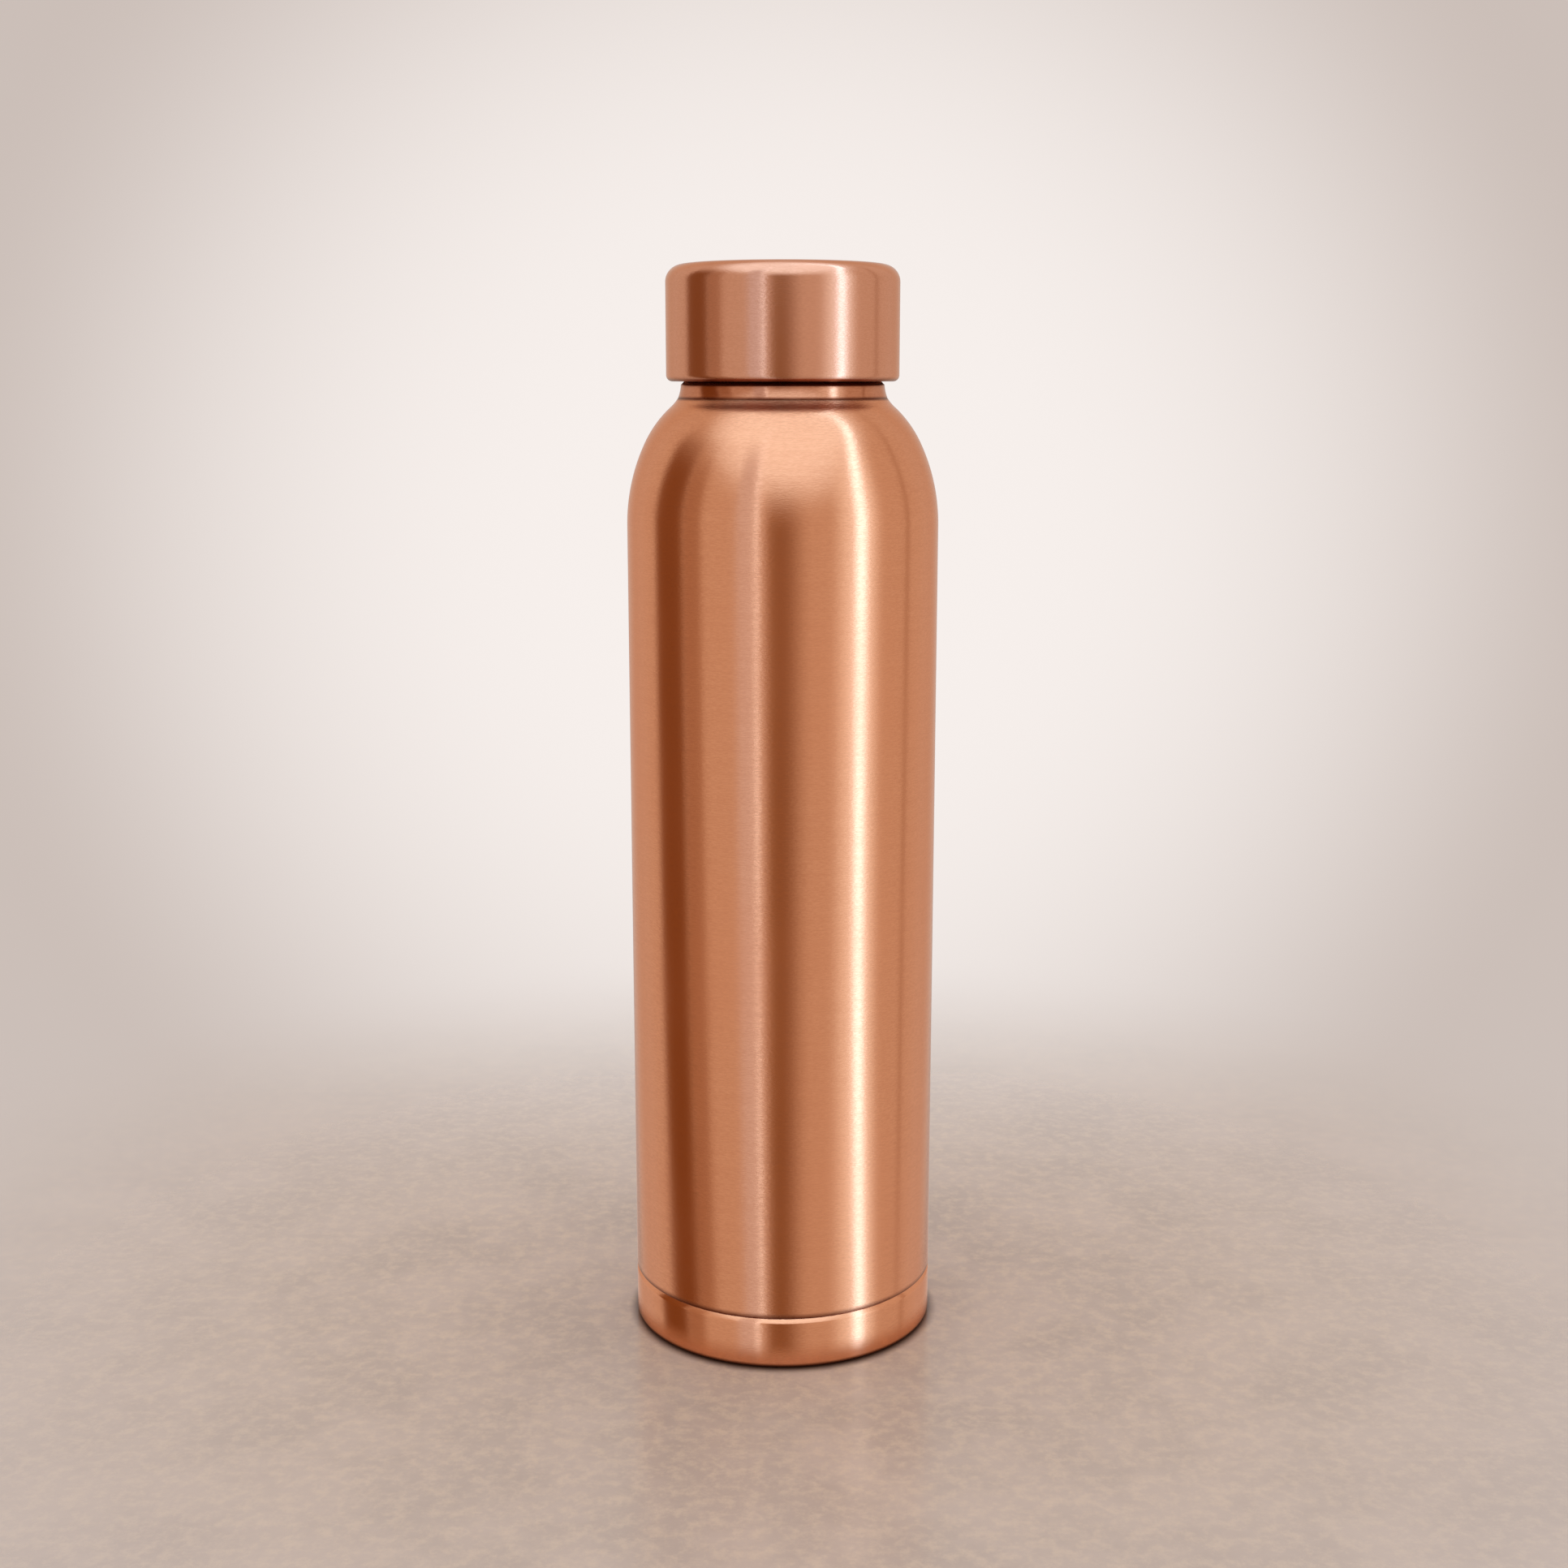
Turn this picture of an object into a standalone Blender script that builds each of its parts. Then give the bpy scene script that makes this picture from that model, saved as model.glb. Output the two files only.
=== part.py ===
"""Copper water bottle with a screw cap: a drawn body, a threaded neck, a pressed base and a lined cap.

Metres, +Z up. The origin is the centre of the circle that the bottle stands on. Every piece is turned about
the Z axis, which is also the axis that the cap screws along.
"""

from math import acos, asin, atan2, ceil, cos, pi, radians, sin, tan

import bmesh
import bpy
from mathutils import Vector

SEGMENTS = 48
CHORD_ERROR = 0.00006
SHARP_ANGLE = radians(32)
MERGE_DISTANCE = 1e-6
GAP = 0.0003
WALL = 0.0005
EDGE_BREAK_R = 0.0002

# Body: a straight tube that closes in two arcs to the neck, with a shallow hollow curve at the top.
BODY_R = 0.0375
SHOULDER_Z = 0.20114
SHOULDER_LOWER_R = 0.04548
SHOULDER_UPPER_R = 0.02731
SHOULDER_HOLLOW_R = 0.0094
SHOULDER_MID_ANGLE = radians(25.55)
SHOULDER_STEEP_ANGLE = radians(48.0)
SHOULDER_TOP_ANGLE = radians(32.5)

# Base: a pressed cup, stepped in at its top so that it slides up inside the body.
BASE_JOINT_Z = 0.01305
BASE_LEDGE_R = 0.0368
BASE_EDGE_HEIGHT = 0.00125
BASE_CORNER_R = 0.0015
BASE_STEP_FILLET_R = 0.0008
BASE_INNER_FILLET_R = 0.0006
BASE_RECESS_R = 0.0302
BASE_RECESS_FILLET_R = 0.0012
BASE_RECESS_HEIGHT = 0.0020
BASE_CROWN = 0.0006
STANDING_RING_R = 0.0316
STANDING_RING_FILLET_R = 0.0008
SPIGOT_TOP_Z = 0.0200
BASE_SOLDER_WIDTH = 0.0008
BASE_SOLDER_HEIGHT = 0.0014
BASE_SOLDER_HOLLOW = 0.4

# Neck: a rolled collar with an outside thread. Its foot flares onto the shoulder, and its spigot goes inside.
NECK_R = 0.02425
NECK_BORE_R = 0.0222
NECK_FLARE_R = 0.0110
NECK_FLARE_ANGLE = radians(20.3)
NECK_FLARE_CENTRE_Z = 0.2353
NECK_BAND_TOP_Z = 0.2344
NECK_SPIGOT_R = 0.0240
NECK_SPIGOT_WALL = 0.0008
NECK_SPIGOT_Z = 0.2286
NECK_SOLDER_Z = 0.2292
NECK_SOLDER_WIDTH = 0.0010
NECK_SOLDER_HEIGHT = 0.0016
MOUTH_Z = 0.2586

# Thread: one right-hand start on the neck, and a matching ridge inside the cap.
PITCH = 0.0040
THREAD_TURNS = 3
THREAD_RUN_OUT = 0.125
THREAD_BASE_WIDTH = 0.0022
THREAD_CREST_WIDTH = 0.0008
THREAD_SINK = 0.0004
THREAD_BURIAL = 0.00015
THREAD_ROOT_R = 0.0232
THREAD_CREST_R = 0.0246
NECK_THREAD_Z = 0.2430

# Cap: a spun cup with a turned-in lower edge, over a threaded sleeve and a sealing ring.
CAP_R = 0.0278
CAP_BOTTOM_Z = 0.23516
CAP_TOP_Z = 0.2622
CAP_CORNER_R = 0.0040
CAP_EDGE_R = 0.0015
CAP_LIP_R = 0.0252
SLEEVE_TOP_Z = 0.2579
SLEEVE_WALL = 0.0009
SLEEVE_CHAMFER = 0.0003
CAP_SOLDER_HEIGHT = 0.0016
CAP_SOLDER_SAG = 0.0006
CAP_SOLDER_CHAMFER = 0.0007
SEAL_INNER_R = 0.0214
SEAL_OUTER_R = 0.0244
SEAL_CORNER_R = 0.0005

COPPER = ("copper", (0.71, 0.33, 0.19), 0.32, 1.0)
COPPER_INSIDE = ("copper_inside", (0.66, 0.29, 0.17), 0.45, 1.0)
SOLDER = ("solder", (0.62, 0.58, 0.50), 0.40, 1.0)
SILICONE = ("silicone", (0.80, 0.79, 0.76), 0.55, 0.0)


def clear_scene():
    for item in list(bpy.data.objects):
        bpy.data.objects.remove(item, do_unlink=True)


def material(name, colour, roughness, metallic):
    made = bpy.data.materials.new(name)
    made.use_nodes = True
    shader = made.node_tree.nodes["Principled BSDF"]
    shader.inputs["Base Color"].default_value = (*colour, 1.0)
    shader.inputs["Roughness"].default_value = roughness
    shader.inputs["Metallic"].default_value = metallic
    made.diffuse_color = (*colour, 1.0)
    return made


def arc(centre, radius, start, end):
    """Points (r, z) on a circle from one angle to another, measured from +r towards +z, within CHORD_ERROR."""
    widest = 2 * acos(1 - CHORD_ERROR / radius)
    steps = max(1, ceil(abs(end - start) / widest))
    angles = [start + (end - start) * step / steps for step in range(steps + 1)]
    return [(centre[0] + radius * cos(angle), centre[1] + radius * sin(angle)) for angle in angles]


def rounded(corners):
    """A closed outline from corners (r, z, fillet radius), each fillet an arc tangent to both its sides."""
    outline = []
    for index, (r, z, radius) in enumerate(corners):
        here = Vector((r, z))
        if radius == 0:
            outline.append((r, z))
            continue
        before = Vector(corners[index - 1][:2]) - here
        after = Vector(corners[(index + 1) % len(corners)][:2]) - here
        half = acos(before.normalized().dot(after.normalized())) / 2
        start = here + before.normalized() * radius / tan(half)
        end = here + after.normalized() * radius / tan(half)
        middle = (before.normalized() + after.normalized()).normalized()
        centre = here + middle * radius / sin(half)
        from_angle = atan2(start.y - centre.y, start.x - centre.x)
        to_angle = atan2(end.y - centre.y, end.x - centre.x)
        turn = (to_angle - from_angle + pi) % (2 * pi) - pi
        outline.extend(arc(centre, radius, from_angle, from_angle + turn))
    return outline


def add_object(name, builder, finish):
    """Turns a bmesh into a named object with outward faces, smooth where the shape is round."""
    bmesh.ops.recalc_face_normals(builder, faces=builder.faces)
    mesh = bpy.data.meshes.new(name)
    builder.to_mesh(mesh)
    builder.free()
    mesh.shade_smooth()
    mesh.set_sharp_from_angle(angle=SHARP_ANGLE)
    mesh.materials.append(finish)
    made = bpy.data.objects.new(name, mesh)
    bpy.context.scene.collection.objects.link(made)
    return made


def turned(name, outline, finish):
    """A solid of revolution about Z from a closed outline of (r, z) points."""
    builder = bmesh.new()
    points = [builder.verts.new((r, 0, z)) for r, z in outline]
    on_axis = [r == 0 for r, _ in outline]
    sides = []
    for index, point in enumerate(points):
        if not (on_axis[index - 1] and on_axis[index]):
            sides.append(builder.edges.new((points[index - 1], point)))
    bmesh.ops.spin(
        builder,
        geom=points + sides,
        cent=(0, 0, 0),
        axis=(0, 0, 1),
        angle=2 * pi,
        steps=SEGMENTS,
        use_merge=True,
    )
    bmesh.ops.remove_doubles(builder, verts=builder.verts, dist=MERGE_DISTANCE)
    return add_object(name, builder, finish)


def thread_ridge(name, root_r, crest_r, start_z, finish):
    """A helical ridge that sinks into its wall at the root and fades into the wall at both ends."""
    outward = 1 if crest_r > root_r else -1
    half_segment = 0.5 / SEGMENTS
    builder = bmesh.new()
    rings = []
    for step in range(SEGMENTS * THREAD_TURNS + 1):
        turns = step / SEGMENTS
        angle = 2 * pi * (turns + half_segment)
        middle_z = start_z + PITCH * (turns + half_segment)
        rise = min(1, turns / THREAD_RUN_OUT, (THREAD_TURNS - turns) / THREAD_RUN_OUT)
        crest = root_r + (crest_r - root_r) * rise - outward * THREAD_BURIAL * (1 - rise)
        sunk = root_r - outward * THREAD_SINK
        section = [
            (sunk, -THREAD_BASE_WIDTH / 2),
            (crest, -THREAD_CREST_WIDTH / 2),
            (crest, THREAD_CREST_WIDTH / 2),
            (sunk, THREAD_BASE_WIDTH / 2),
        ]
        rings.append(
            [builder.verts.new((r * cos(angle), r * sin(angle), middle_z + up)) for r, up in section]
        )
    for ring, following in zip(rings, rings[1:]):
        for index in range(len(ring)):
            builder.faces.new((ring[index - 1], ring[index], following[index], following[index - 1]))
    builder.faces.new(rings[0])
    builder.faces.new(rings[-1])
    ridge = add_object(name, builder, finish)
    ridge.hide_render = True
    ridge.display_type = "WIRE"
    return ridge


def join_ridge(wall, ridge):
    union = wall.modifiers.new("thread", "BOOLEAN")
    union.operation = "UNION"
    union.solver = "EXACT"
    union.object = ridge


def shoulder(inset):
    """The body's side from its lower edge to the neck opening, moved inwards by inset."""
    lower_centre = Vector((BODY_R - SHOULDER_LOWER_R, SHOULDER_Z))
    mid_way = Vector((cos(SHOULDER_MID_ANGLE), sin(SHOULDER_MID_ANGLE)))
    upper_centre = lower_centre + mid_way * (SHOULDER_LOWER_R - SHOULDER_UPPER_R)
    steep_way = Vector((cos(SHOULDER_STEEP_ANGLE), sin(SHOULDER_STEEP_ANGLE)))
    hollow_centre = upper_centre + steep_way * (SHOULDER_UPPER_R + SHOULDER_HOLLOW_R)
    side = [(BODY_R - inset, BASE_JOINT_Z)]
    side += arc(lower_centre, SHOULDER_LOWER_R - inset, 0, SHOULDER_MID_ANGLE)
    side += arc(upper_centre, SHOULDER_UPPER_R - inset, SHOULDER_MID_ANGLE, SHOULDER_STEEP_ANGLE)[1:]
    side += arc(
        hollow_centre, SHOULDER_HOLLOW_R + inset, SHOULDER_STEEP_ANGLE + pi, SHOULDER_TOP_ANGLE + pi
    )[1:]
    return side


def make_body_shell(copper):
    outline = shoulder(0) + shoulder(WALL)[::-1]
    return turned("body_shell", outline, copper)


def make_base_cup(copper):
    ledge_z = BASE_JOINT_Z - GAP
    spigot_r = BODY_R - WALL - GAP
    inner_r = BODY_R - WALL
    step_z = ledge_z - BASE_EDGE_HEIGHT
    outline = rounded(
        [
            (0, BASE_RECESS_HEIGHT + BASE_CROWN, 0),
            (BASE_RECESS_R, BASE_RECESS_HEIGHT, BASE_RECESS_FILLET_R),
            (STANDING_RING_R, 0, STANDING_RING_FILLET_R),
            (BODY_R, 0, BASE_CORNER_R),
            (BODY_R, step_z, BASE_STEP_FILLET_R),
            (BASE_LEDGE_R, ledge_z, EDGE_BREAK_R),
            (spigot_r, ledge_z, 0),
            (spigot_r, SPIGOT_TOP_Z, 0),
            (spigot_r - WALL, SPIGOT_TOP_Z, 0),
            (spigot_r - WALL, ledge_z, BASE_INNER_FILLET_R),
            (inner_r, step_z - WALL, BASE_INNER_FILLET_R),
            (inner_r, WALL, BASE_CORNER_R - WALL),
            (STANDING_RING_R + WALL / 2, WALL, BASE_INNER_FILLET_R),
            (BASE_RECESS_R + WALL / 2, BASE_RECESS_HEIGHT + WALL, STANDING_RING_FILLET_R),
            (0, BASE_RECESS_HEIGHT + BASE_CROWN + WALL, 0),
        ]
    )
    return turned("base_cup", outline, copper)


def make_base_solder_ring(solder):
    """The fillet of solder in the corner where the base cup ends inside the body."""
    outer_r = BODY_R - WALL - GAP
    low_z = SPIGOT_TOP_Z + GAP
    middle_width = BASE_SOLDER_WIDTH * BASE_SOLDER_HOLLOW
    middle_height = BASE_SOLDER_HEIGHT * BASE_SOLDER_HOLLOW
    outline = [
        (outer_r, low_z),
        (outer_r, low_z + BASE_SOLDER_HEIGHT),
        (outer_r - middle_width, low_z + middle_height),
        (outer_r - BASE_SOLDER_WIDTH, low_z),
    ]
    return turned("base_solder_ring", outline, solder)


def make_neck_collar(copper):
    flare_centre = (NECK_R + NECK_FLARE_R, NECK_FLARE_CENTRE_Z)
    band_top_angle = asin((NECK_FLARE_CENTRE_Z - NECK_BAND_TOP_Z) / NECK_FLARE_R)
    flare = arc(flare_centre, NECK_FLARE_R, NECK_FLARE_ANGLE + pi, band_top_angle + pi)
    foot_z = flare[0][1]
    step_top_z = NECK_BAND_TOP_Z + NECK_R - THREAD_ROOT_R
    spigot_bore_r = NECK_SPIGOT_R - NECK_SPIGOT_WALL
    rim_r = (THREAD_ROOT_R - NECK_BORE_R) / 2
    rim_centre = (NECK_BORE_R + rim_r, MOUTH_Z - rim_r)
    outline = flare + [(THREAD_ROOT_R, step_top_z)]
    outline += arc(rim_centre, rim_r, 0, pi)
    outline += [
        (NECK_BORE_R, step_top_z),
        (spigot_bore_r, NECK_BAND_TOP_Z),
        (spigot_bore_r, NECK_SPIGOT_Z),
        (NECK_SPIGOT_R, NECK_SPIGOT_Z),
        (NECK_SPIGOT_R, foot_z),
    ]
    collar = turned("neck_collar", outline, copper)
    ridge = thread_ridge("neck_thread_ridge", THREAD_ROOT_R, THREAD_CREST_R, NECK_THREAD_Z, copper)
    join_ridge(collar, ridge)
    return collar


def make_neck_solder_ring(solder):
    """The wedge of solder under the shoulder, where the collar's spigot passes through the opening."""
    inner_r = NECK_SPIGOT_R + GAP
    outline = [
        (inner_r, NECK_SOLDER_Z),
        (inner_r + NECK_SOLDER_WIDTH, NECK_SOLDER_Z),
        (inner_r, NECK_SOLDER_Z + NECK_SOLDER_HEIGHT),
    ]
    return turned("neck_solder_ring", outline, solder)


def make_cap_shell(copper):
    inner_r = CAP_R - WALL
    lip_top_z = CAP_BOTTOM_Z + WALL
    outline = rounded(
        [
            (0, CAP_TOP_Z, 0),
            (CAP_R, CAP_TOP_Z, CAP_CORNER_R),
            (CAP_R, CAP_BOTTOM_Z, CAP_EDGE_R),
            (CAP_LIP_R, CAP_BOTTOM_Z, EDGE_BREAK_R),
            (CAP_LIP_R, lip_top_z, EDGE_BREAK_R),
            (inner_r, lip_top_z, CAP_EDGE_R - WALL),
            (inner_r, CAP_TOP_Z - WALL, CAP_CORNER_R - WALL),
            (0, CAP_TOP_Z - WALL, 0),
        ]
    )
    return turned("cap_shell", outline, copper)


def make_cap_thread_sleeve(copper):
    root_r = THREAD_CREST_R + GAP
    crest_r = THREAD_ROOT_R + GAP
    outer_r = root_r + SLEEVE_WALL
    low_z = CAP_BOTTOM_Z + WALL + GAP
    outline = [
        (outer_r, SLEEVE_TOP_Z - SLEEVE_CHAMFER),
        (outer_r, low_z + SLEEVE_CHAMFER),
        (outer_r - SLEEVE_CHAMFER, low_z),
        (root_r + SLEEVE_CHAMFER, low_z),
        (root_r, low_z + SLEEVE_CHAMFER),
        (root_r, SLEEVE_TOP_Z - SLEEVE_CHAMFER),
        (root_r + SLEEVE_CHAMFER, SLEEVE_TOP_Z),
        (outer_r - SLEEVE_CHAMFER, SLEEVE_TOP_Z),
    ]
    sleeve = turned("cap_thread_sleeve", outline, copper)
    start_z = NECK_THREAD_Z - PITCH / 2
    ridge = thread_ridge("cap_thread_ridge", root_r, crest_r, start_z, copper)
    join_ridge(sleeve, ridge)
    return sleeve


def make_cap_solder_ring(solder):
    """The fillet of solder on the cap's turned-in edge, between the sleeve and the cap's wall."""
    inner_r = THREAD_CREST_R + GAP + SLEEVE_WALL + GAP
    outer_r = CAP_R - WALL - GAP
    low_z = CAP_BOTTOM_Z + WALL + GAP
    top_z = low_z + CAP_SOLDER_HEIGHT
    outline = [
        (inner_r, low_z),
        (outer_r - CAP_SOLDER_CHAMFER, low_z),
        (outer_r, low_z + CAP_SOLDER_CHAMFER),
        (outer_r, top_z),
        ((inner_r + outer_r) / 2, top_z - CAP_SOLDER_SAG),
        (inner_r, top_z),
    ]
    return turned("cap_solder_ring", outline, solder)


def make_cap_sealing_ring(silicone):
    """A flat ring that the mouth of the neck presses against the inside of the cap's top."""
    low_z = MOUTH_Z + GAP
    top_z = CAP_TOP_Z - WALL - GAP
    outline = rounded(
        [
            (SEAL_INNER_R, low_z, SEAL_CORNER_R),
            (SEAL_OUTER_R, low_z, SEAL_CORNER_R),
            (SEAL_OUTER_R, top_z, SEAL_CORNER_R),
            (SEAL_INNER_R, top_z, SEAL_CORNER_R),
        ]
    )
    return turned("cap_sealing_ring", outline, silicone)


def empty(name):
    made = bpy.data.objects.new(name, None)
    bpy.context.scene.collection.objects.link(made)
    return made


def main():
    clear_scene()
    copper = material(*COPPER)
    copper_inside = material(*COPPER_INSIDE)
    solder = material(*SOLDER)
    silicone = material(*SILICONE)
    bottle_axis = empty("bottle_axis")
    cap_axis = empty("cap_axis")
    for piece in (
        make_body_shell(copper),
        make_base_cup(copper),
        make_base_solder_ring(solder),
        make_neck_collar(copper),
        make_neck_solder_ring(solder),
    ):
        piece.parent = bottle_axis
    for piece in (
        make_cap_shell(copper),
        make_cap_thread_sleeve(copper_inside),
        make_cap_solder_ring(solder),
        make_cap_sealing_ring(silicone),
    ):
        piece.parent = cap_axis


main()
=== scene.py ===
"""Copper water bottle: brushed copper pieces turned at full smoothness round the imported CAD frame.

Metres, +Z up, the CAD frame. Heights and widths of the nodes are read from their boxes in the CAD; lengths
that a box doesn't show, such as corner radii, are repeated here as named values. Two joints are closed
further than in the CAD: CREASE_GAP at the neck's foot and JOINT_GAP at the base.
"""

from math import acos, asin, atan2, ceil, cos, pi, radians, sin, tan

import bmesh
import bpy
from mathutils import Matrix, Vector

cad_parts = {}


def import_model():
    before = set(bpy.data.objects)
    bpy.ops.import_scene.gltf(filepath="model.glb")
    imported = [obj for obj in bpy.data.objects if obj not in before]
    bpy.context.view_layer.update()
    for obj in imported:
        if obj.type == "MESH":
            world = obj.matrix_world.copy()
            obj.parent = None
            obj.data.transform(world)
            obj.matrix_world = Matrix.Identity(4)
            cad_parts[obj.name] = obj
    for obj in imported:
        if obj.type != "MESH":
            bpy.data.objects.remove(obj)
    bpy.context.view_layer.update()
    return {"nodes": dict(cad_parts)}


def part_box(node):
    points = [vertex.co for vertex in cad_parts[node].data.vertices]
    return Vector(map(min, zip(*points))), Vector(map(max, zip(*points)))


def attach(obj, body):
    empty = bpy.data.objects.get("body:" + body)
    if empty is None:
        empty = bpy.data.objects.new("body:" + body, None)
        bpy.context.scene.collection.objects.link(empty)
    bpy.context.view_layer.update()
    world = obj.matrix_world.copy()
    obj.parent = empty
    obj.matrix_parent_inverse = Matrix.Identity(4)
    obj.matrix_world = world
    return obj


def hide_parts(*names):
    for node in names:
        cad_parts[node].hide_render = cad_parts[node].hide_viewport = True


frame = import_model()

# Turned pieces
SEGMENTS = 288
CHORD_ERROR = 0.000004
SHARP_ANGLE = radians(40)
WALL = 0.0005
CREASE_GAP = 0.00002
JOINT_GAP = 0.00012

# Shoulder
SHOULDER_Z = 0.20114
SHOULDER_LOWER_R = 0.04548
SHOULDER_UPPER_R = 0.02731
SHOULDER_HOLLOW_R = 0.0094
SHOULDER_MID_ANGLE = radians(25.55)
SHOULDER_STEEP_ANGLE = radians(48.0)
SHOULDER_TOP_ANGLE = radians(32.5)

# Body's lower edge: broken inside, rounded outside through a point in between, measured from the corner
BODY_EDGE_BREAK = 0.0001
BODY_EDGE_ROUND = 0.00025
BODY_EDGE_MIDDLE = (0.00008, 0.00007)

# Base
BASE_LEDGE_R = 0.0368
BASE_EDGE_HEIGHT = 0.00125
BASE_CORNER_R = 0.0015
BASE_EDGE_FILLET_R = 0.0006
BASE_LEDGE_FILLET_R = 0.00005
BASE_INNER_FILLET_R = 0.0006
BASE_SPIGOT_CLEARANCE = 0.0003
BASE_RECESS_R = 0.0302
BASE_RECESS_FILLET_R = 0.0012
BASE_RECESS_INNER_FILLET_R = 0.0008
BASE_RECESS_HEIGHT = 0.0020
BASE_CROWN = 0.0006
STANDING_RING_R = 0.0316
STANDING_RING_FILLET_R = 0.0008
STANDING_RING_INNER_FILLET_R = 0.0006

# Neck
NECK_R = 0.02425
NECK_BORE_R = 0.0222
NECK_FLARE_R = 0.0110
NECK_FLARE_ANGLE = radians(20.3)
NECK_FLARE_CENTRE_Z = 0.2353
NECK_BAND_TOP_Z = 0.2344
NECK_FOOT_EDGE = 0.00006
NECK_SPIGOT_R = 0.0240
NECK_SPIGOT_BORE_R = 0.0232

# Thread
PITCH = 0.0040
THREAD_TURNS = 3
THREAD_RUN_OUT = 0.125
THREAD_BASE_WIDTH = 0.0022
THREAD_CREST_WIDTH = 0.0008
THREAD_ROOT_R = 0.0232
THREAD_CREST_R = 0.0246
THREAD_CLEARANCE = 0.0003
NECK_THREAD_Z = 0.2430
THREAD_ROW = 0.00012
SAME_RADIUS = 1e-7

# Cap
CAP_CORNER_R = 0.0040
CAP_EDGE_R = 0.0015
CAP_LIP_R = 0.0252
CAP_LIP_FILLET_R = 0.0002
SLEEVE_CHAMFER = 0.0003
SEAL_CORNER_R = 0.0005
SEAL_BORE_R = 0.0214

# Copper: its tones, and the roughness and depth of its brushing
COPPER_LIGHT = (0.88, 0.355, 0.168)
COPPER_DARK = (0.80, 0.305, 0.140)
CAP_LIGHT = (0.81, 0.350, 0.193)
CAP_DARK = (0.745, 0.308, 0.161)
# The neck's tones are the copper's, darkened as painted shade under the cap.
NECK_SHADED_LIGHT = (0.70, 0.255, 0.12)
NECK_SHADED_DARK = (0.60, 0.205, 0.09)
TURNED_SHADE = 0.8
BODY_ROUGHNESS = 0.18
CAP_ROUGHNESS = 0.19
NECK_ROUGHNESS = 0.13
TURNED_ROUGHNESS = 0.42
ROUGHNESS_SPREAD = (1.16, 0.86)
SCRATCH_DEPTH = 0.000016
NECK_GRAIN = 0.5
TURNED_GRAIN = 1.5
FINE_SHARE = 0.78

# Stains, specks, edges rubbed bright, painted highlights and painted shade on the copper: tints, strengths,
# and what they change in the roughness. Polish and painted highlights take some away; the others add. A LEAST
# is the strength that the patchiness leaves.
STAIN_TINT = (0.96, 0.88, 0.84)
STAIN_STRENGTH = 0.4
STAIN_ROUGHNESS = 0.03
SPECK_STRENGTH = 0.3
# This lightening is real wear at the mouth and a painted highlight at the base joint and the cap's top.
POLISH_AND_SHEEN_TINT = 1.12
POLISH_AND_SHEEN_STRENGTH = 0.55
POLISH_AND_SHEEN_SMOOTHING = 0.3
POLISH_AND_SHEEN_LEAST = 0.35
# Painted shade: a dark colour laid on joints, creases, the foot and the neck under the cap.
PAINTED_SHADE = (0.16, 0.03, 0.01)
PAINTED_SHADE_ROUGHNESS = 0.15
PAINTED_SHADE_LEAST = 0.8

# How far painted shade, polish and painted highlights reach from an edge; a drop is how far below the edge a
# painted highlight has its middle
# Painted shade at the base joint, the foot, the crease, the neck under the cap and the cap's lower edge.
BODY_JOINT_PAINTED_SHADE = 0.0015
BASE_JOINT_PAINTED_SHADE = 0.0004
FOOT_PAINTED_SHADE = 0.0015
CREASE_PAINTED_SHADE = 0.0007
BAND_PAINTED_SHADOW = 0.0019
CAP_EDGE_PAINTED_SHADE = 0.0013
MOUTH_POLISH = 0.0012
# Painted highlights: the bright line below the base joint and the bright rim round the cap's top.
BASE_PAINTED_HIGHLIGHT = 0.0015
BASE_HIGHLIGHT_DROP = 0.0009
CAP_PAINTED_HIGHLIGHT = 0.0024
CAP_HIGHLIGHT_DROP = 0.0012

# Noises: features per metre along three axes, detail, roughness. The axes of the first three are the way
# round the bottle, outwards and up; those of the others are x, y and z.
FINE_NOISE = ((700, 3600, 3600), 4.0, 0.7)
COARSE_NOISE = ((100, 900, 900), 3.0, 0.6)
SCRATCH_NOISE = ((1000, 4400, 4400), 2.0, 0.5)
STAIN_NOISE = ((34, 34, 20), 3.0, 0.5)
SPECK_NOISE = ((900, 900, 1500), 2.0, 0.5)
PATCH_NOISE = ((160, 160, 420), 3.0, 0.6)
SILICONE_CLOUD = ((120, 120, 120), 3.0, 0.6)
SILICONE_DUST = ((1800, 1800, 1800), 2.0, 0.6)
SOLDER_FLOW = ((260, 260, 260), 4.0, 0.6)
SOLDER_PITS = ((1500, 1500, 1500), 3.0, 0.6)
FLOOR_MOTTLE = ((26, 26, 26), 5.0, 0.62)
FLOOR_FINE = ((420, 420, 420), 3.0, 0.6)
FLOOR_GRIT = ((240, 240, 240), 4.0, 0.7)

# The parts of those noises' ranges over which a tone or a roughness changes
BRUSHING_TONES = (0.37, 0.63)
BRUSHING_ROUGH = (0.35, 0.65)
STAIN_TONES = (0.42, 0.72)
STAIN_ROUGH = (0.45, 0.7)
SPECK_TONES = (0.68, 0.80)
POLISH_AND_SHEEN_PATCHES = (0.3, 0.62)
PAINTED_SHADE_PATCHES = (0.3, 0.6)
CLOUD_TONES = (0.35, 0.65)
CLOUD_ROUGH = (0.3, 0.7)
GRIT_TONES = (0.40, 0.70)

# Silicone and solder
SILICONE_DARK = (0.62, 0.60, 0.56)
SILICONE_LIGHT = (0.72, 0.71, 0.68)
SILICONE_ROUGHNESS = (0.48, 0.62)
SOLDER_DARK = (0.52, 0.42, 0.31)
SOLDER_LIGHT = (0.66, 0.56, 0.45)
SOLDER_ROUGHNESS = (0.32, 0.5)
PITS_SHARE = 0.3

# Camera, on the -Y side, looking slightly down
CAMERA_DISTANCE = 0.50843
CAMERA_HEIGHT = 0.23596
CAMERA_PITCH = radians(10.983)
CAMERA_LENS = 48.03
CAMERA_SENSOR = 36.0
CAMERA_SHIFT_X = 0.0008
CAMERA_NEAR = 0.01
CAMERA_FAR = 50

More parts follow.
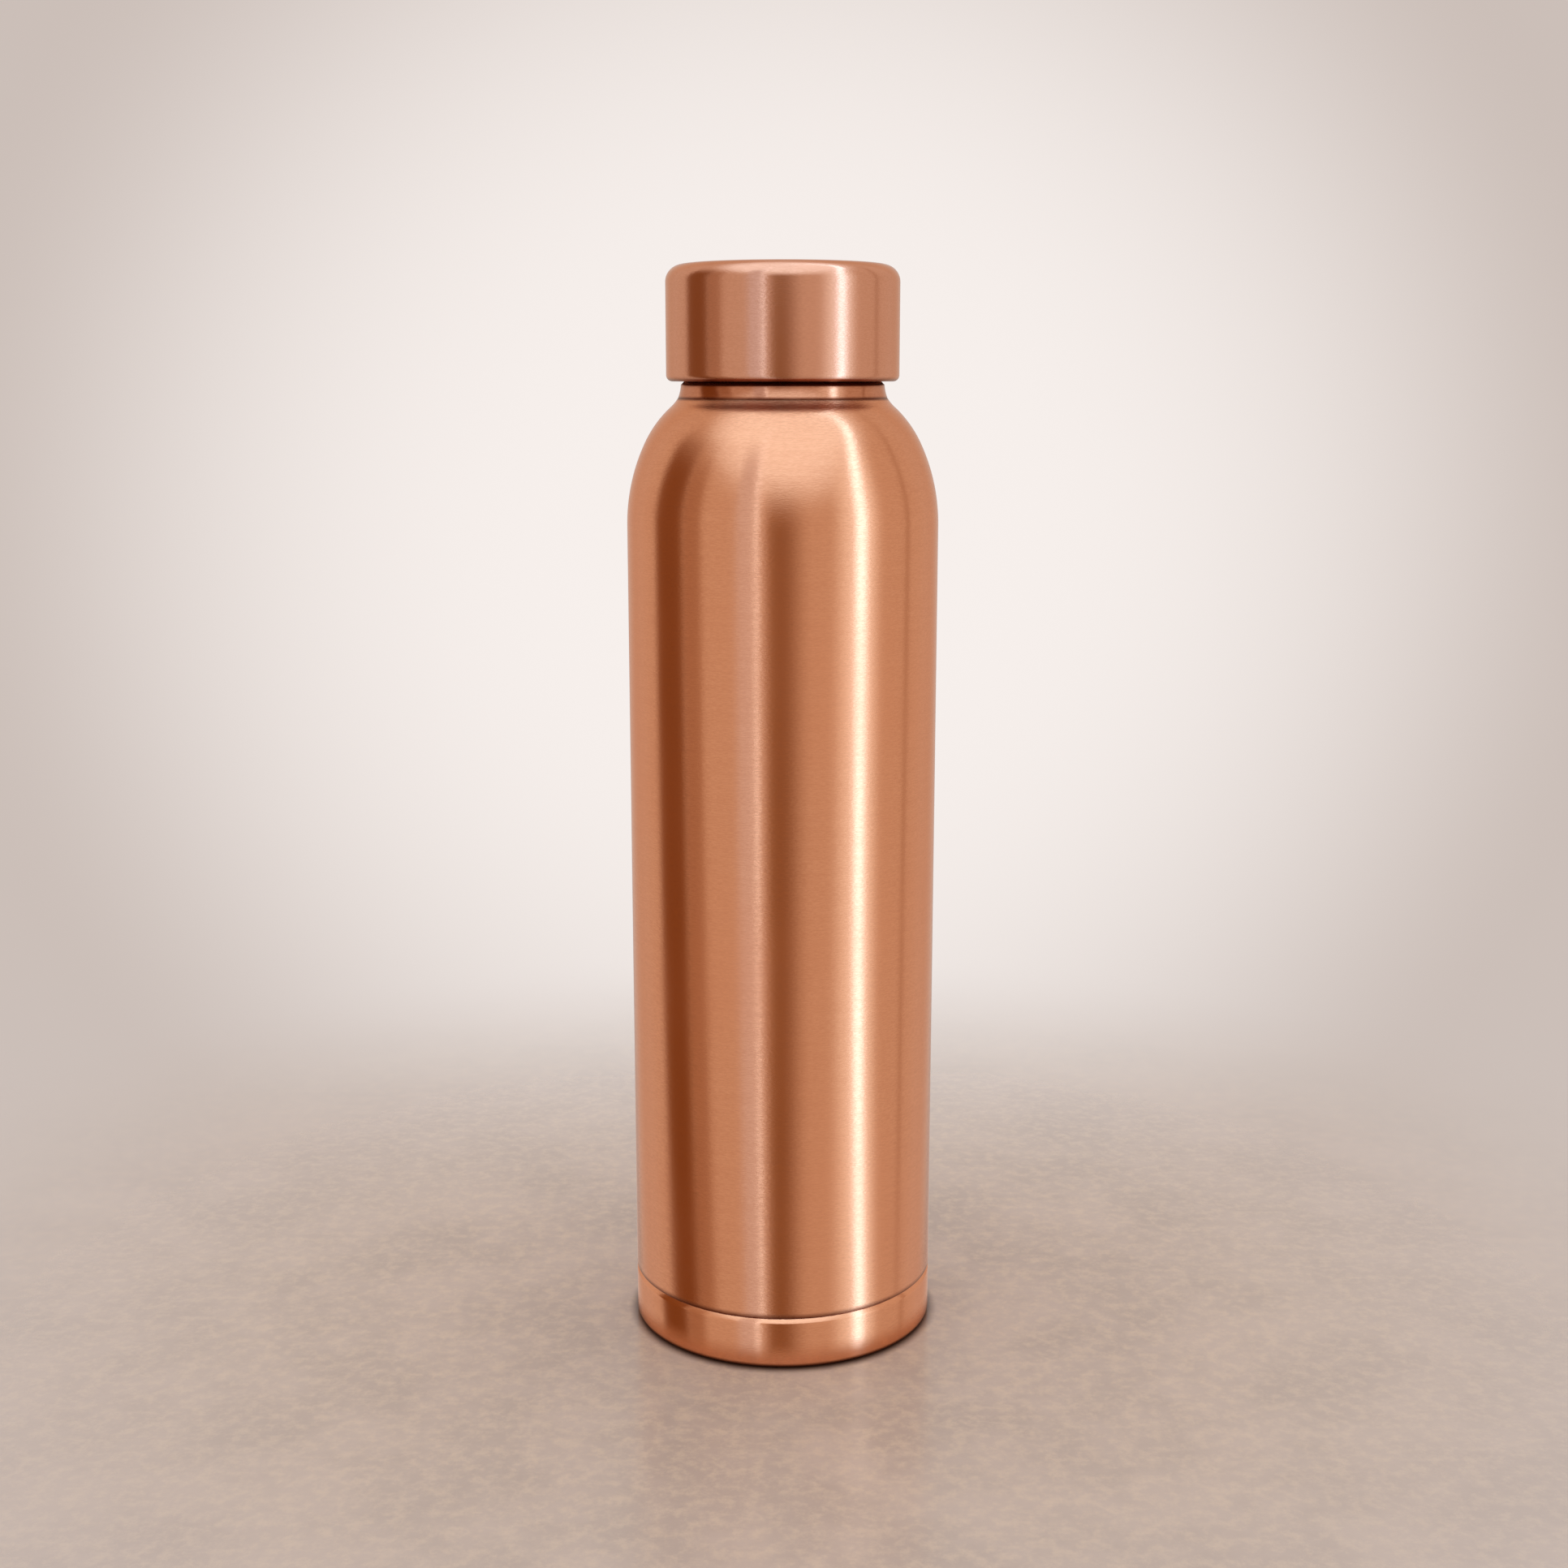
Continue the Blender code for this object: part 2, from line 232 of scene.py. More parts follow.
# Floor and backdrop. Each pair is where a change starts and ends: the floor's fade and the contact shadow by
# the distance from the middle, the mirrored floor by the distance from the copper. A spread is the cosines of
# the angles from a light's middle where the light starts and is full.
FLOOR_R = 4.0
FLOOR_SEGMENTS = 96
FLOOR_TONE = (0.47, 0.375, 0.325)
FLOOR_PALER = 1.16
FLOOR_SPECKS = (0.72, 0.56, 0.42)
FLOOR_SPECK_STRENGTH = 0.45
FLOOR_ROUGHNESS = (0.16, 0.24)
FLOOR_FADE = (0.05, 0.34)
MIRRORED_FLOOR = (0.004, 0.016)
CONTACT_SHADOW = (0.0366, 0.0402)
CONTACT_TONE = (0.10, 0.045, 0.028)
EVEN_LIGHT = (1.0, 0.97, 0.94)
BACKDROP = (0.60, 0.52, 0.48)
BACKDROP_GLOW = (0.93, 0.87, 0.84)
GLOW_WAY = (0.0, 0.9976, -0.0698)
GLOW_SPREAD = (0.925, 0.999)

# Light on the copper: the tone between the panels, the light above, and how far the panels on the +X side
# lean back as they rise
ROOM = (0.65, 0.645, 0.67)
OVERHEAD = (1.15, 1.62, 2.25)
OVERHEAD_WAY = (0.04, -0.42, 0.90)
OVERHEAD_SPREAD = (0.55, 0.89)
LEAN = 1.2
LEAN_POWER = 4.0

# Upright panels: the azimuths in degrees (0 towards -Y, positive to +X) where each starts, is full, starts to
# end and has ended; the heights (sines of the elevation) where it starts to end and has ended; its colour.
PANELS = [
    ((-180, -165, -145, -126), (0.75, 0.95), (0.62, 0.55, 0.50)),
    ((-110, -103, -82, -74), (0.40, 0.80), (0.22, 0.105, 0.038)),
    ((-79, -75, -64, -60), (0.35, 0.75), (0.42, 0.32, 0.26)),
    ((-37, -31, -22.5, -18), (0.55, 0.85), (0.71, 0.85, 1.15)),
    ((-21.0, -19.4, -18.2, -16.6), (0.85, 0.98), (1.35, 2.00, 3.00)),
    ((-16, -7, 0, 22), (0.00, 0.50), (0.28, 0.18, 0.11)),
    ((34, 50, 66, 79), (0.40, 0.80), (1.00, 1.28, 1.62)),
    ((52, 58, 60, 66.5), (1.00, 1.20), (2.00, 3.60, 6.00)),
    ((101, 103, 104.5, 107), (0.60, 0.90), (0.42, 0.34, 0.30)),
    ((126, 145, 165, 180), (0.75, 0.95), (0.62, 0.55, 0.50)),
]


def highest(node):
    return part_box(node)[1].z


def lowest(node):
    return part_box(node)[0].z


def widest(node):
    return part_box(node)[1].x


# ---------------------------------------------------------------- outlines


def arc(centre, radius, start, end):
    """Points (r, z) on a circle, measured from +r towards +z, no chord further than CHORD_ERROR from it."""
    step = 2 * acos(1 - min(CHORD_ERROR / radius, 0.5))
    steps = max(2, ceil(abs(end - start) / step))
    angles = [start + (end - start) * index / steps for index in range(steps + 1)]
    return [(centre[0] + radius * cos(angle), centre[1] + radius * sin(angle)) for angle in angles]


def rounded(corners):
    """A closed outline from corners (r, z, fillet radius), each fillet an arc tangent to both its sides."""
    outline = []
    for index, (r, z, radius) in enumerate(corners):
        here = Vector((r, z))
        if radius == 0:
            outline.append((r, z))
            continue
        before = (Vector(corners[index - 1][:2]) - here).normalized()
        after = (Vector(corners[(index + 1) % len(corners)][:2]) - here).normalized()
        half = acos(before.dot(after)) / 2
        start = here + before * radius / tan(half)
        end = here + after * radius / tan(half)
        centre = here + (before + after).normalized() * radius / sin(half)
        from_angle = atan2(start.y - centre.y, start.x - centre.x)
        to_angle = atan2(end.y - centre.y, end.x - centre.x)
        turn = (to_angle - from_angle + pi) % (2 * pi) - pi
        outline.extend(arc(centre, radius, from_angle, from_angle + turn))
    return outline


def rows_between(r, low_z, high_z, spacing):
    """Points up a straight wall, close enough together to carry a thread."""
    count = ceil((high_z - low_z) / spacing)
    return [(r, low_z + (high_z - low_z) * index / count) for index in range(count + 1)]


def shoulder(inset):
    """The body's side from its lower edge to the neck opening, moved inwards by inset."""
    body_r = widest("body_shell")
    lower_centre = Vector((body_r - SHOULDER_LOWER_R, SHOULDER_Z))
    mid_way = Vector((cos(SHOULDER_MID_ANGLE), sin(SHOULDER_MID_ANGLE)))
    upper_centre = lower_centre + mid_way * (SHOULDER_LOWER_R - SHOULDER_UPPER_R)
    steep_way = Vector((cos(SHOULDER_STEEP_ANGLE), sin(SHOULDER_STEEP_ANGLE)))
    hollow_centre = upper_centre + steep_way * (SHOULDER_UPPER_R + SHOULDER_HOLLOW_R)
    side = arc(lower_centre, SHOULDER_LOWER_R - inset, 0, SHOULDER_MID_ANGLE)
    side += arc(upper_centre, SHOULDER_UPPER_R - inset, SHOULDER_MID_ANGLE, SHOULDER_STEEP_ANGLE)[1:]
    hollow_from = SHOULDER_STEEP_ANGLE + pi
    side += arc(hollow_centre, SHOULDER_HOLLOW_R + inset, hollow_from, SHOULDER_TOP_ANGLE + pi)[1:]
    return side


# ---------------------------------------------------------------- meshes


def thread_height(angle, z, start_z):
    """The thread's height at a point of the wall, from 0 at the root to 1 on the crest."""
    start_turn = (z - start_z) / PITCH - angle / (2 * pi)
    height = 0
    for turn in range(-1, THREAD_TURNS + 1):
        turns = angle / (2 * pi) + turn
        if not 0 <= turns <= THREAD_TURNS:
            continue
        away = abs(start_turn - turn) * PITCH
        flank = (THREAD_BASE_WIDTH / 2 - away) / ((THREAD_BASE_WIDTH - THREAD_CREST_WIDTH) / 2)
        rise = min(1, turns / THREAD_RUN_OUT, (THREAD_TURNS - turns) / THREAD_RUN_OUT)
        height = max(height, min(flank, 1) * rise)
    return max(height, 0)


def turned(name, outline, thread=None):
    """A surface of revolution from a closed outline.

    thread is the (root radius, crest radius, start z) of a helical ridge on the wall at the root radius.
    """
    builder = bmesh.new()
    columns = []
    for segment in range(SEGMENTS):
        angle = 2 * pi * segment / SEGMENTS
        column = []
        for r, z in outline:
            if r == 0:
                column.append(None)
                continue
            if thread and abs(r - thread[0]) < SAME_RADIUS:
                r += (thread[1] - thread[0]) * thread_height(angle, z, thread[2])
            column.append(builder.verts.new((r * cos(angle), r * sin(angle), z)))
        columns.append(column)
    poles = {index: builder.verts.new((0, 0, z)) for index, (r, z) in enumerate(outline) if r == 0}
    for segment, column in enumerate(columns):
        following = columns[(segment + 1) % SEGMENTS]
        for index in range(len(outline)):
            before = index - 1 if index else len(outline) - 1
            if outline[before][0] == 0 and outline[index][0] == 0:
                continue
            ring = [
                column[before] or poles[before],
                column[index] or poles[index],
                following[index] or poles[index],
                following[before] or poles[before],
            ]
            builder.faces.new(list(dict.fromkeys(ring)))
    bmesh.ops.recalc_face_normals(builder, faces=builder.faces)
    mesh = bpy.data.meshes.new(name)
    builder.to_mesh(mesh)
    builder.free()
    mesh.shade_smooth()
    mesh.set_sharp_from_angle(angle=SHARP_ANGLE)
    made = bpy.data.objects.new(name, mesh)
    bpy.context.scene.collection.objects.link(made)
    return made


def body_shell():
    bottom_z = lowest("body_shell")
    body_r = widest("body_shell")
    edge = [
        (body_r - WALL, bottom_z + BODY_EDGE_BREAK),
        (body_r - WALL + BODY_EDGE_BREAK, bottom_z),
        (body_r - BODY_EDGE_ROUND, bottom_z),
        (body_r - BODY_EDGE_MIDDLE[0], bottom_z + BODY_EDGE_MIDDLE[1]),
        (body_r, bottom_z + BODY_EDGE_ROUND),
    ]
    return turned("bottle_body", edge + shoulder(0) + shoulder(WALL)[::-1])


def base_cup():
    body_r = widest("base_cup")
    ledge_z = lowest("body_shell") - JOINT_GAP
    top_z = highest("base_cup")
    spigot_r = body_r - WALL - BASE_SPIGOT_CLEARANCE
    inner_r = body_r - WALL
    step_z = ledge_z - BASE_EDGE_HEIGHT
    outline = rounded(
        [
            (0, BASE_RECESS_HEIGHT + BASE_CROWN, 0),
            (BASE_RECESS_R, BASE_RECESS_HEIGHT, BASE_RECESS_FILLET_R),
            (STANDING_RING_R, 0, STANDING_RING_FILLET_R),
            (body_r, 0, BASE_CORNER_R),
            (body_r, step_z, BASE_EDGE_FILLET_R),
            (BASE_LEDGE_R, ledge_z, BASE_LEDGE_FILLET_R),
            (spigot_r, ledge_z, 0),
            (spigot_r, top_z, 0),
            (spigot_r - WALL, top_z, 0),
            (spigot_r - WALL, ledge_z, BASE_INNER_FILLET_R),
            (inner_r, step_z - WALL, BASE_INNER_FILLET_R),
            (inner_r, WALL, BASE_CORNER_R - WALL),
            (STANDING_RING_R + WALL / 2, WALL, STANDING_RING_INNER_FILLET_R),
            (BASE_RECESS_R + WALL / 2, BASE_RECESS_HEIGHT + WALL, BASE_RECESS_INNER_FILLET_R),
            (0, BASE_RECESS_HEIGHT + BASE_CROWN + WALL, 0),
        ]
    )
    return turned("bottle_base", outline)


def neck_collar():
    flare_centre = (NECK_R + NECK_FLARE_R, NECK_FLARE_CENTRE_Z)
    band_top_angle = asin((NECK_FLARE_CENTRE_Z - NECK_BAND_TOP_Z) / NECK_FLARE_R)
    flare = arc(flare_centre, NECK_FLARE_R, NECK_FLARE_ANGLE + pi, band_top_angle + pi)
    foot_z = highest("body_shell") + CREASE_GAP
    step_top_z = NECK_BAND_TOP_Z + NECK_R - THREAD_ROOT_R
    rim_r = (THREAD_ROOT_R - NECK_BORE_R) / 2
    rim_z = highest("neck_collar") - rim_r
    spigot_z = lowest("neck_collar")
    outline = [(flare[0][0] + NECK_FOOT_EDGE, foot_z)] + flare
    outline += rows_between(THREAD_ROOT_R, step_top_z, rim_z, THREAD_ROW)
    outline += arc((NECK_BORE_R + rim_r, rim_z), rim_r, 0, pi)[1:]
    outline += [
        (NECK_BORE_R, step_top_z),
        (NECK_SPIGOT_BORE_R, NECK_BAND_TOP_Z),
        (NECK_SPIGOT_BORE_R, spigot_z),
        (NECK_SPIGOT_R, spigot_z),
        (NECK_SPIGOT_R, foot_z),
    ]
    return turned("bottle_neck", outline, (THREAD_ROOT_R, THREAD_CREST_R, NECK_THREAD_Z))


def cap_shell():
    cap_r = widest("cap_shell")
    top_z = highest("cap_shell")
    bottom_z = lowest("cap_shell")
    inner_r = cap_r - WALL
    outline = rounded(
        [
            (0, top_z, 0),
            (cap_r, top_z, CAP_CORNER_R),
            (cap_r, bottom_z, CAP_EDGE_R),
            (CAP_LIP_R, bottom_z, CAP_LIP_FILLET_R),
            (CAP_LIP_R, bottom_z + WALL, CAP_LIP_FILLET_R),
            (inner_r, bottom_z + WALL, CAP_EDGE_R - WALL),
            (inner_r, top_z - WALL, CAP_CORNER_R - WALL),
            (0, top_z - WALL, 0),
        ]
    )
    return turned("cap_cover", outline)


def cap_thread_sleeve():
    root_r = THREAD_CREST_R + THREAD_CLEARANCE
    crest_r = THREAD_ROOT_R + THREAD_CLEARANCE
    outer_r = widest("cap_thread_sleeve")
    top_z = highest("cap_thread_sleeve")
    low_z = lowest("cap_thread_sleeve")
    outline = [
        (outer_r, top_z - SLEEVE_CHAMFER),
        (outer_r, low_z + SLEEVE_CHAMFER),
        (outer_r - SLEEVE_CHAMFER, low_z),
        (root_r + SLEEVE_CHAMFER, low_z),
    ]
    outline += rows_between(root_r, low_z + SLEEVE_CHAMFER, top_z - SLEEVE_CHAMFER, THREAD_ROW)
    outline += [
        (root_r + SLEEVE_CHAMFER, top_z),
        (outer_r - SLEEVE_CHAMFER, top_z),
    ]
    return turned("cap_thread", outline, (root_r, crest_r, NECK_THREAD_Z - PITCH / 2))


def sealing_ring():
    low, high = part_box("cap_sealing_ring")
    outline = rounded(
        [
            (SEAL_BORE_R, low.z, SEAL_CORNER_R),
            (high.x, low.z, SEAL_CORNER_R),
            (high.x, high.z, SEAL_CORNER_R),
            (SEAL_BORE_R, high.z, SEAL_CORNER_R),
        ]
    )
    return turned("cap_seal", outline)


# ---------------------------------------------------------------- materials


class Nodes:
    """A short way to write a node tree."""

    def __init__(self, tree):
        self.tree = tree

    def add(self, kind, **settings):
        node = self.tree.nodes.new(kind)
        for key, value in settings.items():
            setattr(node, key, value)
        return node

    def link(self, source, target):
        self.tree.links.new(source, target)

    def set(self, node, **values):
        for key, value in values.items():
            node.inputs[key.replace("_", " ")].default_value = value

    def noise(self, vector, scale, detail, roughness):
        """Noise on a vector in metres, with scale features per metre along its three axes."""
        stretch = self.add("ShaderNodeMapping")
        stretch.inputs["Scale"].default_value = scale
        self.link(vector, stretch.inputs["Vector"])
        noise = self.add("ShaderNodeTexNoise")
        self.set(noise, Scale=1.0, Detail=detail, Roughness=roughness)
        self.link(stretch.outputs["Vector"], noise.inputs["Vector"])
        return noise.outputs["Fac"]

    def remap(self, value, low, high, to_low, to_high):
        """value eased from the range low..high to the range to_low..to_high, and held outside it."""
        node = self.add("ShaderNodeMapRange", interpolation_type="SMOOTHSTEP")
        for socket, number in zip(("From Min", "From Max", "To Min", "To Max"), (low, high, to_low, to_high)):
            node.inputs[socket].default_value = number
        self.link(value, node.inputs["Value"])
        return node.outputs["Result"]

    def blend_shaders(self, fraction, first, second):
        node = self.add("ShaderNodeMixShader")
        for socket, source in zip(node.inputs, (fraction, first, second)):
            self.link(source, socket)
        return node.outputs["Shader"]

    def math(self, operation, first, second=None):
        node = self.add("ShaderNodeMath", operation=operation)
        for socket, value in zip(node.inputs, (first, second)):
            if value is None:
                continue
            if isinstance(value, (int, float)):
                socket.default_value = value
            else:
                self.link(value, socket)
        return node.outputs["Value"]

    def mix(self, fraction, first, second):
        node = self.add("ShaderNodeMix", data_type="RGBA")
        for socket, value in ((node.inputs[0], fraction), (node.inputs[6], first), (node.inputs[7], second)):
            if isinstance(value, tuple):
                socket.default_value = (*value, 1.0)
            else:
                self.link(value, socket)
        return node.outputs[2]


def material_nodes(name):
    """A new material's node tree, with its shader and its output to hand."""
    material = bpy.data.materials.new(name)
    material.use_nodes = True
    nodes = Nodes(material.node_tree)
    nodes.material = material
    nodes.shader = nodes.tree.nodes["Principled BSDF"]
    nodes.output = nodes.tree.nodes["Material Output"]
    return nodes


def edge_mask(nodes, height, edges):
    """1 at the height of each edge (height, width), eased to 0 at its width above and below."""
    mask = None
    for edge_z, width in edges:
        away = nodes.math("ABSOLUTE", nodes.math("SUBTRACT", height, edge_z))
        near = nodes.remap(away, 0.0, width, 1.0, 0.0)
        mask = near if mask is None else nodes.math("MAXIMUM", mask, near)
    return mask


def brushed_copper(name, light, dark, roughness, worn_and_lit_edges=(), shaded_edges=(), grain=1.0):
    """Copper brushed round its axis, with faint stains.

    The two lists of edges are the (height, width) of edges rubbed bright or lit by a painted highlight, and
    of painted shade.
    """
    nodes = material_nodes(name)
    where = nodes.add("ShaderNodeTexCoord").outputs["Object"]
    split = nodes.add("ShaderNodeSeparateXYZ")
    nodes.link(where, split.inputs["Vector"])
    height = split.outputs["Z"]

    turn = nodes.math("ARCTAN2", split.outputs["X"], nodes.math("MULTIPLY", split.outputs["Y"], -1.0))
    flat = nodes.add("ShaderNodeCombineXYZ")
    nodes.link(split.outputs["X"], flat.inputs["X"])
    nodes.link(split.outputs["Y"], flat.inputs["Y"])
    reach = nodes.add("ShaderNodeVectorMath", operation="LENGTH")
    nodes.link(flat.outputs["Vector"], reach.inputs["Vector"])
    around = nodes.add("ShaderNodeCombineXYZ")
    nodes.link(nodes.math("MULTIPLY", turn, widest("body_shell")), around.inputs["X"])
    nodes.link(reach.outputs["Value"], around.inputs["Y"])
    nodes.link(height, around.inputs["Z"])
    brushed = around.outputs["Vector"]

    fine = nodes.noise(brushed, *FINE_NOISE)
    coarse = nodes.noise(brushed, *COARSE_NOISE)
    stain = nodes.noise(where, *STAIN_NOISE)
    speck = nodes.noise(where, *SPECK_NOISE)

    brushing = nodes.math("MULTIPLY", fine, FINE_SHARE)
    brushing = nodes.math("ADD", brushing, nodes.math("MULTIPLY", coarse, 1 - FINE_SHARE))
    colour = nodes.mix(nodes.remap(brushing, *BRUSHING_TONES, 0.0, 1.0), dark, light)
    warm = tuple(a * b for a, b in zip(light, STAIN_TINT))
    colour = nodes.mix(nodes.remap(stain, *STAIN_TONES, 0.0, STAIN_STRENGTH), colour, warm)
    colour = nodes.mix(nodes.remap(speck, *SPECK_TONES, 0.0, SPECK_STRENGTH), colour, dark)
    roughest, smoothest = (roughness * spread for spread in ROUGHNESS_SPREAD)
    rough = nodes.remap(brushing, *BRUSHING_ROUGH, roughest, smoothest)
    rough = nodes.math("ADD", rough, nodes.remap(stain, *STAIN_ROUGH, 0.0, STAIN_ROUGHNESS))
    patchy = nodes.noise(where, *PATCH_NOISE)
    # Edges rubbed bright, and edges painted lighter as a highlight.
    if worn_and_lit_edges:
        uneven = nodes.remap(patchy, *POLISH_AND_SHEEN_PATCHES, POLISH_AND_SHEEN_LEAST, 1.0)
        wear_and_sheen = nodes.math("MULTIPLY", edge_mask(nodes, height, worn_and_lit_edges), uneven)
        polished_and_sheen = tuple(min(1.0, c * POLISH_AND_SHEEN_TINT) for c in light)
        colour = nodes.mix(nodes.math("MULTIPLY", wear_and_sheen, POLISH_AND_SHEEN_STRENGTH), colour, polished_and_sheen)
        rough = nodes.math("SUBTRACT", rough, nodes.math("MULTIPLY", wear_and_sheen, roughness * POLISH_AND_SHEEN_SMOOTHING))
    # Painted shade: the copper darkened at the given edges.
    if shaded_edges:
        uneven = nodes.remap(patchy, *PAINTED_SHADE_PATCHES, PAINTED_SHADE_LEAST, 1.0)
        shading = nodes.math("MULTIPLY", edge_mask(nodes, height, shaded_edges), uneven)
        colour = nodes.mix(shading, colour, PAINTED_SHADE)
        rough = nodes.math("ADD", rough, nodes.math("MULTIPLY", shading, PAINTED_SHADE_ROUGHNESS))
    nodes.link(colour, nodes.shader.inputs["Base Color"])
    nodes.link(rough, nodes.shader.inputs["Roughness"])

    scratches = nodes.noise(brushed, *SCRATCH_NOISE)
    bump = nodes.add("ShaderNodeBump")
    nodes.set(bump, Strength=1.0, Distance=SCRATCH_DEPTH * grain)
    nodes.link(scratches, bump.inputs["Height"])
    nodes.link(bump.outputs["Normal"], nodes.shader.inputs["Normal"])

    tangent = nodes.add("ShaderNodeTangent", direction_type="RADIAL", axis="Z")
    nodes.link(tangent.outputs["Tangent"], nodes.shader.inputs["Tangent"])
    nodes.shader.inputs["Metallic"].default_value = 1.0
    nodes.shader.inputs["Anisotropic"].default_value = 0.5
    nodes.shader.inputs["Anisotropic Rotation"].default_value = 0.25
    nodes.shader.inputs["Specular Tint"].default_value = (1.0, 0.90, 0.82, 1.0)
    return nodes.material


def silicone():
    nodes = material_nodes("silicone")
    where = nodes.add("ShaderNodeTexCoord").outputs["Object"]
    cloud = nodes.noise(where, *SILICONE_CLOUD)
    dust = nodes.noise(where, *SILICONE_DUST)
    colour = nodes.mix(nodes.remap(cloud, *CLOUD_TONES, 0.0, 1.0), SILICONE_DARK, SILICONE_LIGHT)
    nodes.link(colour, nodes.shader.inputs["Base Color"])
    nodes.link(nodes.remap(cloud, *CLOUD_ROUGH, *SILICONE_ROUGHNESS), nodes.shader.inputs["Roughness"])
    bump = nodes.add("ShaderNodeBump")
    nodes.set(bump, Strength=0.2, Distance=0.00002)
    nodes.link(dust, bump.inputs["Height"])
    nodes.link(bump.outputs["Normal"], nodes.shader.inputs["Normal"])
    nodes.shader.inputs["Subsurface Weight"].default_value = 0.1
    nodes.shader.inputs["Subsurface Radius"].default_value = (0.002, 0.002, 0.002)
    return nodes.material


def solder():
    nodes = material_nodes("solder")
    where = nodes.add("ShaderNodeTexCoord").outputs["Object"]
    flow = nodes.noise(where, *SOLDER_FLOW)
    pits = nodes.noise(where, *SOLDER_PITS)
    colour = nodes.mix(nodes.remap(flow, *CLOUD_TONES, 0.0, 1.0), SOLDER_DARK, SOLDER_LIGHT)
    nodes.link(colour, nodes.shader.inputs["Base Color"])
    nodes.link(nodes.remap(flow, *CLOUD_ROUGH, *SOLDER_ROUGHNESS), nodes.shader.inputs["Roughness"])
    bump = nodes.add("ShaderNodeBump")
    nodes.set(bump, Strength=0.5, Distance=0.0001)
    nodes.link(nodes.math("ADD", flow, nodes.math("MULTIPLY", pits, PITS_SHARE)), bump.inputs["Height"])
    nodes.link(bump.outputs["Normal"], nodes.shader.inputs["Normal"])
    nodes.shader.inputs["Metallic"].default_value = 1.0
    return nodes.material


# ---------------------------------------------------------------- stage, light, camera


def smooth_range(nodes, value, low, high, falling=False):
    """0 up to low and 1 from high, eased in between, or the other way round."""
    ends = (1.0, 0.0) if falling else (0.0, 1.0)
    return nodes.remap(value, low, high, *ends)


def studio_light(nodes, where):
    """What the copper reflects: upright panels of light and dark round the bottle, and a soft light above."""
    split = nodes.add("ShaderNodeSeparateXYZ")
    nodes.link(where, split.inputs["Vector"])
    height = split.outputs["Z"]
    towards = nodes.math("MULTIPLY", split.outputs["Y"], -1.0)
    to_right = nodes.math("MAXIMUM", split.outputs["X"], 0.0)
    leaning = nodes.math("MULTIPLY", to_right, nodes.math("POWER", height, LEAN_POWER))
    towards = nodes.math("ADD", towards, nodes.math("MULTIPLY", leaning, LEAN))
    azimuth = nodes.math("MULTIPLY", nodes.math("ARCTAN2", split.outputs["X"], towards), 180 / pi)
    above = nodes.add("ShaderNodeVectorMath", operation="DOT_PRODUCT")
    nodes.link(where, above.inputs[0])
    above.inputs[1].default_value = OVERHEAD_WAY
    lit = smooth_range(nodes, above.outputs["Value"], *OVERHEAD_SPREAD)
    colour = nodes.mix(lit, ROOM, OVERHEAD)
    for (start, full, ending, end), (top, gone), tone in PANELS:
        begun = smooth_range(nodes, azimuth, start, full)
        unfinished = smooth_range(nodes, azimuth, ending, end, falling=True)
        below_top = smooth_range(nodes, height, top, gone, falling=True)
        there = nodes.math("MULTIPLY", nodes.math("MULTIPLY", begun, unfinished), below_top)
        colour = nodes.mix(there, colour, tone)
    return colour


def world():
    """The studio's panels for reflections, an even soft light for the floor, and a plain backdrop."""
    made = bpy.data.worlds.new("studio")
    bpy.context.scene.world = made
    made.use_nodes = True
    nodes = Nodes(made.node_tree)
    nodes.tree.nodes.clear()
    where = nodes.add("ShaderNodeTexCoord").outputs["Generated"]

    panels = nodes.add("ShaderNodeBackground")
    nodes.link(studio_light(nodes, where), panels.inputs["Color"])

    even = nodes.add("ShaderNodeBackground")
    even.inputs["Color"].default_value = (*EVEN_LIGHT, 1.0)

    behind = nodes.add("ShaderNodeVectorMath", operation="DOT_PRODUCT")
    nodes.link(where, behind.inputs[0])
    behind.inputs[1].default_value = GLOW_WAY
    glow = smooth_range(nodes, behind.outputs["Value"], *GLOW_SPREAD)
    backdrop = nodes.add("ShaderNodeBackground")
    nodes.link(nodes.mix(glow, BACKDROP, BACKDROP_GLOW), backdrop.inputs["Color"])

    path = nodes.add("ShaderNodeLightPath")
    reflected = nodes.blend_shaders(path.outputs["Is Glossy Ray"], even.outputs[0], panels.outputs[0])
    seen = nodes.blend_shaders(path.outputs["Is Camera Ray"], reflected, backdrop.outputs[0])
    output = nodes.add("ShaderNodeOutputWorld")
    nodes.link(seen, output.inputs["Surface"])


